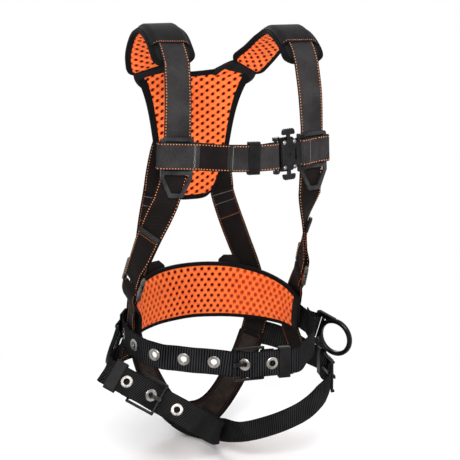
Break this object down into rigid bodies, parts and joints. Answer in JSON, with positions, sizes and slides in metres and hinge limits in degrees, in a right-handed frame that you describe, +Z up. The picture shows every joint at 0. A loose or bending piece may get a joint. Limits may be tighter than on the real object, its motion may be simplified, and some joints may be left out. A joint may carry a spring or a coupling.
{
  "type": "safety harness",
  "caption": "Full-body work harness with padded shoulders, back and waist, a buckled belt, leg loops, a quick-connect chest strap and forged ring eyes for fall protection.",
  "frame": {"origin": "middle of the waist belt's ring, on the belt line, in the space that the wearer's torso fills", "axes": "+Z up to the shoulders, -Y the way the wearer faces, +X the wearer's left"},
  "size_m": [0.4582, 0.3257, 0.7715],
  "materials": {
    "mesh_orange": "spacer mesh over foam",
    "cover_cloth": "woven cover cloth",
    "webbing_grey": "polyester webbing with stitched edges",
    "webbing_black": "ribbed polyester webbing",
    "black_steel": "satin black on forged and pressed steel",
    "bright_steel": "plated steel",
    "black_plastic": "moulded black"
  },
  "bodies": {
    "harness": {"back_pad": "mesh_orange", "shoulder_pad_right": "mesh_orange", "shoulder_pad_left": "mesh_orange", "shoulder_cover_right": "cover_cloth", "shoulder_cover_left": "cover_cloth", "shoulder_strap_right": "webbing_grey", "shoulder_strap_left": "webbing_grey", "dorsal_plate": "black_plastic", "chest_ring_right": "black_steel", "chest_ring_left": "black_steel", "chest_strap_right": "webbing_grey", "chest_strap_left": "webbing_grey", "chest_buckle_tongue": "black_steel", "torso_adjuster_right": "black_steel", "torso_adjuster_left": "black_steel", "hip_strap_right": "webbing_grey", "hip_strap_left": "webbing_grey", "back_strap_right": "webbing_grey", "back_strap_left": "webbing_grey", "waist_pad": "mesh_orange", "belt_loop_right": "webbing_black", "belt_loop_left": "webbing_black", "belt_right": "webbing_black", "belt_left": "webbing_black", "belt_grommets": "bright_steel", "belt_buckle_frame": "black_steel", "side_ring_loop_right": "webbing_black", "side_ring_loop_left": "webbing_black", "seat_sling": "cover_cloth", "leg_strap_right": "webbing_black", "leg_strap_left": "webbing_black", "leg_grommets_right": "bright_steel", "leg_grommets_left": "bright_steel", "leg_buckle_strap_right": "webbing_black", "leg_buckle_strap_left": "webbing_black", "leg_buckle_frame_right": "black_steel", "leg_buckle_frame_left": "black_steel"},
    "chest_buckle": {"chest_buckle_base": "black_steel", "chest_buckle_cover": "black_steel", "chest_buckle_rivets": "bright_steel"},
    "release_tab_top": {"release_tab_top": "black_steel"},
    "release_tab_bottom": {"release_tab_bottom": "black_steel"},
    "chest_keeper": {"chest_keeper": "black_plastic"},
    "belt_keeper": {"belt_keeper": "black_plastic"},
    "leg_keeper_right": {"leg_keeper_right": "black_plastic"},
    "leg_keeper_left": {"leg_keeper_left": "black_plastic"},
    "belt_buckle_tongue": {"belt_buckle_tongue": "bright_steel"},
    "leg_buckle_tongue_right": {"leg_buckle_tongue_right": "bright_steel"},
    "leg_buckle_tongue_left": {"leg_buckle_tongue_left": "bright_steel"},
    "side_dring_right": {"side_dring_right": "black_steel"},
    "side_dring_left": {"side_dring_left": "black_steel"},
    "dorsal_dring": {"dorsal_dring": "black_steel"},
    "torso_adjuster_bar_right": {"torso_adjuster_bar_right": "bright_steel"},
    "torso_adjuster_bar_left": {"torso_adjuster_bar_left": "bright_steel"}
  },
  "joints": [
    {"name": "chest_buckle_open", "type": "slide", "parent": "harness", "child": "chest_buckle", "axis": [-0.9846, -0.1699, -0.04], "range_m": [0, 0.012], "deforming": ["chest_strap_right"]},
    {"name": "release_tab_top_press", "type": "slide", "parent": "chest_buckle", "child": "release_tab_top", "axis": [0.0394, 0.0068, -0.9992], "range_m": [0, 0.003], "stiffness_N_per_m": 300},
    {"name": "release_tab_bottom_press", "type": "slide", "parent": "chest_buckle", "child": "release_tab_bottom", "axis": [-0.0394, -0.0068, 0.9992], "range_m": [0, 0.003], "stiffness_N_per_m": 300},
    {"name": "chest_keeper_slide", "type": "slide", "parent": "harness", "child": "chest_keeper", "axis": [0.9996, -0.02, -0.02], "range_m": [-0.0025, 0.0015]},
    {"name": "belt_keeper_slide", "type": "slide", "parent": "harness", "child": "belt_keeper", "axis": [0.995, -0.1, 0], "range_m": [0, 0.005]},
    {"name": "leg_keeper_right_slide", "type": "slide", "parent": "harness", "child": "leg_keeper_right", "axis": [-0.6822, 0.627, 0.3762], "range_m": [0, 0.005]},
    {"name": "leg_keeper_left_slide", "type": "slide", "parent": "harness", "child": "leg_keeper_left", "axis": [0.1511, 0.9872, 0.0504], "range_m": [0, 0.005]},
    {"name": "belt_buckle_tongue_turn", "type": "hinge", "parent": "harness", "child": "belt_buckle_tongue", "pos_m": [0.02584, -0.1413, -0.02208], "axis": [0, 0, 1], "range_deg": [0, 2.5]},
    {"name": "leg_buckle_tongue_right_turn", "type": "hinge", "parent": "harness", "child": "leg_buckle_tongue_right", "pos_m": [-0.17951, -0.06831, -0.06159], "axis": [-0.5886, -0.1657, -0.7912], "range_deg": [0, 2.5]},
    {"name": "leg_buckle_tongue_left_turn", "type": "hinge", "parent": "harness", "child": "leg_buckle_tongue_left", "pos_m": [0.18799, -0.04742, -0.07734], "axis": [-0.0275, -0.0467, 0.9985], "range_deg": [0, 2.5]},
    {"name": "side_dring_right_swing", "type": "hinge", "parent": "harness", "child": "side_dring_right", "pos_m": [-0.1572, 0.07099, 0.01088], "axis": [-0.4983, -0.867, 0], "range_deg": [-120, 0]},
    {"name": "side_dring_left_swing", "type": "hinge", "parent": "harness", "child": "side_dring_left", "pos_m": [0.17943, -0.02251, -0.00334], "axis": [0.1059, -0.3526, 0.9297], "range_deg": [-4, 90]},
    {"name": "dorsal_dring_swing", "type": "hinge", "parent": "harness", "child": "dorsal_dring", "pos_m": [0, 0.1564, 0.392], "axis": [-1, 0, 0], "range_deg": [-150, 0]},
    {"name": "torso_adjuster_bar_right_slide", "type": "slide", "parent": "harness", "child": "torso_adjuster_bar_right", "axis": [0.07, -0.5101, 0.8572], "range_m": [0, 0.006]},
    {"name": "torso_adjuster_bar_left_slide", "type": "slide", "parent": "harness", "child": "torso_adjuster_bar_left", "axis": [-0.161, -0.6239, 0.7648], "range_m": [0, 0.006]}
  ]
}
